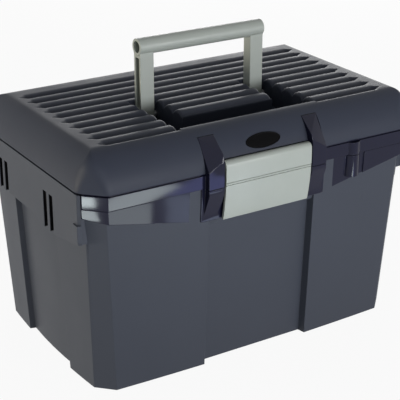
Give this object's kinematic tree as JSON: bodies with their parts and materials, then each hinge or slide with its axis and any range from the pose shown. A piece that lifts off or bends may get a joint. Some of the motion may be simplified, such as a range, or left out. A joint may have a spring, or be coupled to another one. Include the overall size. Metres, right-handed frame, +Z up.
{
  "type": "grooming box",
  "caption": "Lidded grooming box with a ribbed domed lid, fold-down carrying handle, wide front latch and lift-out divided tray.",
  "frame": {"origin": "middle of the underside of the tub, on the ground", "axes": "+Z up, X along the long side, the latch faces -Y"},
  "size_m": [0.404, 0.2809, 0.3265],
  "materials": {
    "tub_plastic": "fine moulded texture",
    "lid_plastic": "fine moulded texture",
    "rim_plastic": "polished",
    "tray_plastic": "plain",
    "badge_plastic": "polished",
    "silver_plastic": "silver pigment, satin",
    "pin_steel": "drawn"
  },
  "bodies": {
    "tub_body": {"tub": "tub_plastic", "hinge_pin_left": "pin_steel", "hinge_pin_right": "pin_steel", "lift_out_tray": "tray_plastic", "tray_divider_left": "tray_plastic", "tray_divider_right": "tray_plastic"},
    "lid": {"lid_frame": "rim_plastic", "lid_cover": "lid_plastic", "badge_plate": "badge_plastic", "latch_pin": "pin_steel", "handle_pin_left": "pin_steel", "handle_pin_right": "pin_steel"},
    "handle": {"carry_handle": "silver_plastic"},
    "latch": {"latch_flap": "silver_plastic"}
  },
  "joints": [
    {"name": "lid_hinge", "type": "hinge", "parent": "tub_body", "child": "lid", "pos_m": [0, 0.138, 0.204], "axis": [-1, 0, 0], "range_deg": [0, 105]},
    {"name": "carry_handle_fold", "type": "hinge", "parent": "lid", "child": "handle", "pos_m": [0, -0.0045, 0.24325], "axis": [1, 0, 0], "range_deg": [0, 90]},
    {"name": "latch_flip", "type": "hinge", "parent": "lid", "child": "latch", "pos_m": [0, -0.131, 0.2252], "axis": [-1, 0, 0], "range_deg": [0, 100]}
  ]
}
